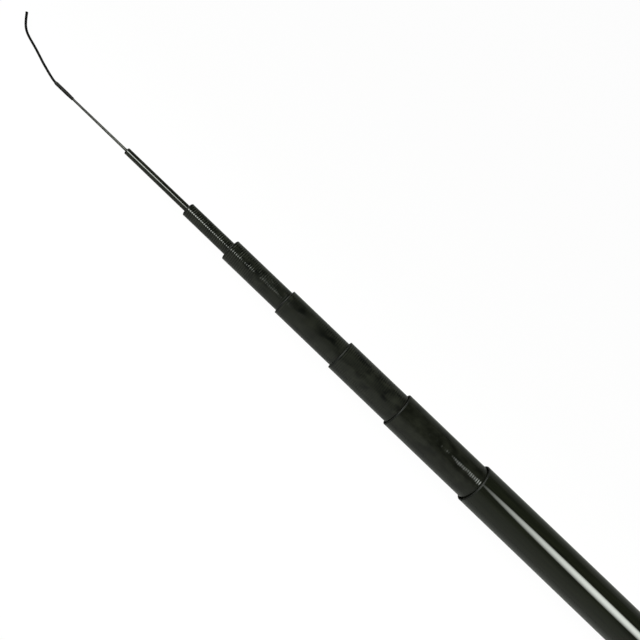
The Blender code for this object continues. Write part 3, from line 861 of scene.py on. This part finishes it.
stem_back, pad_front = (corner.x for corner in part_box("cushion_pad"))
pad_back = pad_front - PAD_LENGTH
pad_radius = ferrule_bore - THREAD_CLEARANCE
stem_radius = pad_radius - STEM_STEP
profile = [(pad_front, VENT_RADIUS)]
profile += arc(pad_front - PAD_EDGE, pad_radius - PAD_EDGE, PAD_EDGE, 0, 90)
profile += arc(pad_back + PAD_EDGE, pad_radius - PAD_EDGE, PAD_EDGE, 90, 180)
profile += [(pad_back, stem_radius)]
profile += arc(stem_back + PAD_EDGE, stem_radius - PAD_EDGE, PAD_EDGE, 90, 180)
profile += [(stem_back, VENT_RADIUS)]
mesh = turned(profile, moulded_rubber)
piece("rubber_cushion", mesh, "cap_inner", ["cushion_pad"])

# Cap
# Turned from aluminium bar, with milled flutes for the fingers, a coin slot and a vent hole, a hollow
# threaded spigot, and a black anodised coat.
FLUTES = 24
FLUTE_DEPTH = 0.5 * MM
CAP_SIDES = 8 * FLUTES
CAP_EDGE = 1.2 * MM
CAP_LENGTH = 14.0 * MM  # without the spigot
SPIGOT_WALL = 2.2 * MM
SPIGOT_CHAMFER = 0.3 * MM
CUP_DEPTH = 8.0 * MM
HOLE_CHAMFER = 0.2 * MM
SLOT_LENGTH = 16.0 * MM
SLOT_WIDTH = 2.2 * MM
SLOT_DEPTH = 1.5 * MM
SLOT_END_STEPS = 12

cap_back, spigot_front = (corner.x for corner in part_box("butt_cap"))
cap_radius = axis_height / math.cos(math.pi / FLUTES)
cap_front = cap_back + CAP_LENGTH
spigot_radius = ferrule_bore - THREAD_CLEARANCE
cup_radius = spigot_radius - SPIGOT_WALL
cup_floor = spigot_front - CUP_DEPTH


def cap_reach(x, r, angle):
    """The cap's outside with its flutes, and its spigot with the thread's ridge."""
    if r > cap_radius - FLUTE_DEPTH:
        root = 0.5 + 0.5 * math.cos(FLUTES * (angle - math.pi / 2))
        return r - FLUTE_DEPTH * root**0.75
    if x > cap_front + HAIR and r > spigot_radius - HAIR:
        height = ridge_crest - spigot_radius
        return r + thread_reach(x, angle, 0.0, THREAD_TURNS, THREAD_CREST, height, THREAD_FADE)
    return r


# Black anodised aluminium: a satin black over metal, with the lathe's rings, drawn 0.25 mm apart so that
# they show, and worn through in specks on the flutes' crests, where the fingers turn it.
WORN_DEPTH = 0.12 * MM
anodised, tree, shader = finish("black_anodised_aluminium", Metallic=1.0, Roughness=0.36)
reach = out_from_axis(tree)
crest = {"Value": reach, "From Min": cap_radius - WORN_DEPTH, "From Max": cap_radius, "To Max": 0.75}
crest = add(tree, "ShaderNodeMapRange", crest)
specks = object_noise(tree, 0.8 * MM, (2.0, 1.0, 1.0))
worn = add(tree, "ShaderNodeMath", {0: specks, 1: crest}, operation="MULTIPLY")
shaded(tree, shader, worn, (0.0, "#2b2b2c"), (0.3, "#38383a"), (0.5, "#9a9a9a"))
place = add(tree, "ShaderNodeTexCoord").outputs["Object"]
lengthwise = add(tree, "ShaderNodeSeparateXYZ", {"Vector": place}).outputs["X"]
place = add(tree, "ShaderNodeCombineXYZ", {"X": reach, "Y": lengthwise})
rings = {"Vector": place, "Scale": 1 / (0.25 * MM), "Detail": 2.0}
raised(tree, shader, add(tree, "ShaderNodeTexNoise", rings), 0.006 * MM)

profile = [(spigot_front, spigot_radius - SPIGOT_CHAMFER)]
threaded = spigot_front - SPIGOT_CHAMFER - cap_front
rows = round(threaded / THREAD_ROW)
profile += [(cap_front + threaded * k / rows, spigot_radius) for k in range(rows, -1, -1)]
profile += [(cap_front, cap_radius - CAP_EDGE)]
profile += arc(cap_front - CAP_EDGE, cap_radius - CAP_EDGE, CAP_EDGE, 15, 90)
profile += arc(cap_back + CAP_EDGE, cap_radius - CAP_EDGE, CAP_EDGE, 90, 180)
profile += [
    (cap_back, VENT_RADIUS + HOLE_CHAMFER),
    (cap_back + HOLE_CHAMFER, VENT_RADIUS),
    (cup_floor, VENT_RADIUS),
    (cup_floor, cup_radius - SPIGOT_CHAMFER),
    (cup_floor + SPIGOT_CHAMFER, cup_radius),
    (spigot_front - HOLE_CHAMFER, cup_radius),
    (spigot_front, cup_radius + HOLE_CHAMFER),
]
cap_mesh = turned(profile, anodised, CAP_SIDES, cap_reach)
faced_outwards(cap_mesh)
cap_start = placed("cap_start", cap_mesh)

# The slot is milled with an end mill, so its ends are round.
end_radius = SLOT_WIDTH / 2
slot_half = SLOT_LENGTH / 2 - end_radius
outline = []
for side in (1, -1):
    for k in range(SLOT_END_STEPS + 1):
        a = math.pi * k / SLOT_END_STEPS
        outline.append((side * (slot_half + end_radius * math.sin(a)), side * end_radius * math.cos(a)))
bm = bmesh.new()
ends = []
for x in (cap_back - SLOT_DEPTH, cap_back + SLOT_DEPTH):
    ends.append([bm.verts.new((x, y, axis_height + z)) for y, z in outline])
    bm.faces.new(ends[-1])
for i in range(len(outline)):
    bm.faces.new((ends[0][i - 1], ends[0][i], ends[1][i], ends[1][i - 1]))
cutter_mesh = bpy.data.meshes.new("slot_cutter")
bm.to_mesh(cutter_mesh)
bm.free()
faced_outwards(cutter_mesh)
cutter_mesh.materials.append(anodised)
cutter = placed("slot_cutter", cutter_mesh)
cut = cap_start.modifiers.new("slot", "BOOLEAN")
cut.operation = "DIFFERENCE"
cut.solver = "EXACT"
cut.object = cutter
mesh = settled(cap_start)
for obj in (cap_start, cutter):
    bpy.data.objects.remove(obj)
piece("screw_cap", mesh, "cap", ["butt_cap"], sharp=40)

# Floor and surroundings
# A pale paper sweep, lifted to white for the camera, where it keeps a faint shadow of the rod. Black
# gloss mirrors it at its edges, and the photograph's tubes do so dimly, so that it is lifted less in
# reflections. On the large lamp's side its grey is painted darker with distance from the rod: painted
# shade of the light falling off.
FLOOR_SIZE = 30.0
PAPER_WITH_PAINTED_SHADE = (
    # from the large lamp's side, 0, to the other, 1: the paper's grey, with its painted shade
    (0.0, "#202020"),
    (0.5, "#454545"),
    (0.68, "#5c5c5c"),
    (0.75, "#737373"),
    (0.82, "#8e8e8e"),
)
PAINTED_SHADE_SPAN = {"From Min": -0.4, "From Max": 0.1}  # where along Y those greys begin and end
FLOOR_GLOW = 1.08
FLOOR_LIFT = 0.9  # share of white in what the camera sees
MIRRORED_LIFT = 0.04  # share of white in what reflections see
ROOM = (
    # from the side of the large lamp, 0, to the other side, 1: how bright the room is
    (0.0, 0.05),
    (0.3, 0.06),
    (0.52, 0.1),
    (0.68, 0.34),
    (1.0, 0.48),
)
ROOM_TINT = (0.95, 1.0, 0.88)
ROOM_ENDS = 5.0  # how bright it is beyond the rod's two ends, on the lamps' side
END_ON = ((0.5, 0.62), (-0.6, -0.72))  # along X at each end, where that light begins and is full
LAMPS_SIDE = {"From Min": 0.15, "From Max": -0.1}  # and the same along Y


def emptied(owner):
    """The node tree of a material, a world or a lamp, without the nodes that it starts with."""
    owner.use_nodes = True
    owner.node_tree.nodes.clear()
    return owner.node_tree


floor_mesh = bpy.data.meshes.new("floor")
half = FLOOR_SIZE / 2
corners = [(-half, -half, 0), (half, -half, 0), (half, half, 0), (-half, half, 0)]
floor_mesh.from_pydata(corners, [], [(0, 1, 2, 3)])
floor = placed("floor", floor_mesh)
sweep = bpy.data.materials.new("white_sweep")
tree = emptied(sweep)
where = add(tree, "ShaderNodeTexCoord").outputs["Object"]
aside = add(tree, "ShaderNodeSeparateXYZ", {"Vector": where}).outputs["Y"]
aside = add(tree, "ShaderNodeMapRange", {"Value": aside, **PAINTED_SHADE_SPAN})
# Painted shade: the paper's grey darkens with distance from the rod on the large lamp's side.
paper_greys_and_painted_shade = ramped(tree, aside, [(position, colour(code)) for position, code in PAPER_WITH_PAINTED_SHADE])
paper = add(tree, "ShaderNodeBsdfDiffuse", {"Color": paper_greys_and_painted_shade})
glow = add(tree, "ShaderNodeEmission", {"Color": colour("#ffffff"), "Strength": FLOOR_GLOW})
ray = add(tree, "ShaderNodeLightPath")
mirrored = {0: ray.outputs["Is Glossy Ray"], 1: ray.outputs["Is Transmission Ray"]}
mirrored = add(tree, "ShaderNodeMath", mirrored, operation="MAXIMUM")
share = add(tree, "ShaderNodeMath", {0: mirrored, 1: MIRRORED_LIFT}, operation="MULTIPLY")
share = {0: ray.outputs["Is Camera Ray"], 1: FLOOR_LIFT, 2: share}
share = add(tree, "ShaderNodeMath", share, operation="MULTIPLY_ADD")
mixed = add(tree, "ShaderNodeMixShader", {0: share, 1: paper, 2: glow})
add(tree, "ShaderNodeOutputMaterial", {"Surface": mixed})
floor_mesh.materials.append(sweep)

world = bpy.data.worlds.new("surroundings")
bpy.context.scene.world = world
tree = emptied(world)
direction = add(tree, "ShaderNodeTexCoord").outputs["Generated"]
direction = add(tree, "ShaderNodeSeparateXYZ", {"Vector": direction})
side = {"Value": direction.outputs["Y"], "From Min": -1.0, "From Max": 1.0}
side = add(tree, "ShaderNodeMapRange", side)
room = [(position, (*(level * part for part in ROOM_TINT), 1.0)) for position, level in ROOM]
room = ramped(tree, side, room)
ends = []
for begins, full in END_ON:
    end_on = {"Value": direction.outputs["X"], "From Min": begins, "From Max": full}
    ends.append(add(tree, "ShaderNodeMapRange", end_on, interpolation_type="SMOOTHSTEP"))
ends = add(tree, "ShaderNodeMath", {0: ends[0], 1: ends[1]}, operation="ADD")
lamp_side = {"Value": direction.outputs["Y"], **LAMPS_SIDE}
lamp_side = add(tree, "ShaderNodeMapRange", lamp_side, interpolation_type="SMOOTHSTEP")
ends = add(tree, "ShaderNodeMath", {0: ends, 1: lamp_side}, operation="MULTIPLY")
ends = add(tree, "ShaderNodeMath", {0: ends, 1: ROOM_ENDS}, operation="MULTIPLY")
lit = add(tree, "ShaderNodeVectorMath", {0: ROOM_TINT, "Scale": ends}, operation="SCALE")
lit = add(tree, "ShaderNodeVectorMath", {0: room, 1: lit}, operation="ADD")
dim = add(tree, "ShaderNodeBackground", {"Color": lit, "Strength": 1.0})
white = add(tree, "ShaderNodeBackground", {"Color": colour("#ffffff"), "Strength": 1.0})
ray = add(tree, "ShaderNodeLightPath")
mixed = add(tree, "ShaderNodeMixShader", {0: ray.outputs["Is Camera Ray"], 1: dim, 2: white})
add(tree, "ShaderNodeOutputWorld", {"Surface": mixed})

# Lamps
# A round and an oval softbox, which face straight down and are brightest in the middle. The large round
# one beside the butt gives it the long highlight, and the oval one near the tip lights the thin sections.
LAMP_HEIGHT = 0.8  # above the rod's axis
LAMP_TINT = (0.95, 1.0, 0.93, 1.0)
for name, x, y, length, width, brightness in (
    ("butt_softbox", -0.27, -0.37, 0.70, 0.70, 17.0),
    ("tip_softbox", 1.02, -0.14, 0.56, 0.38, 19.0),
):
    lamp_data = bpy.data.lights.new(name, "AREA")
    lamp_data.shape = "ELLIPSE"
    lamp_data.size = length
    lamp_data.size_y = width
    lamp_data.energy = brightness * math.pi * math.pi * length / 2 * width / 2
    tree = emptied(lamp_data)
    where = add(tree, "ShaderNodeNewGeometry").outputs["Parametric"]
    where = {0: where, 1: (2.0, 2.0, 0.0), 2: (-1.0, -1.0, 0.0)}
    where = add(tree, "ShaderNodeVectorMath", where, operation="MULTIPLY_ADD")
    out = add(tree, "ShaderNodeVectorMath", {0: where, 1: where}, operation="DOT_PRODUCT").outputs["Value"]
    share = add(tree, "ShaderNodeMath", {0: 1.0, 1: out}, operation="SUBTRACT", use_clamp=True)
    shine = add(tree, "ShaderNodeEmission", {"Color": LAMP_TINT, "Strength": share})
    add(tree, "ShaderNodeOutputLight", {"Surface": shine})
    placed(name, lamp_data).location = (x, y, axis_height + LAMP_HEIGHT)

bpy.context.scene.view_settings.view_transform = "Standard"
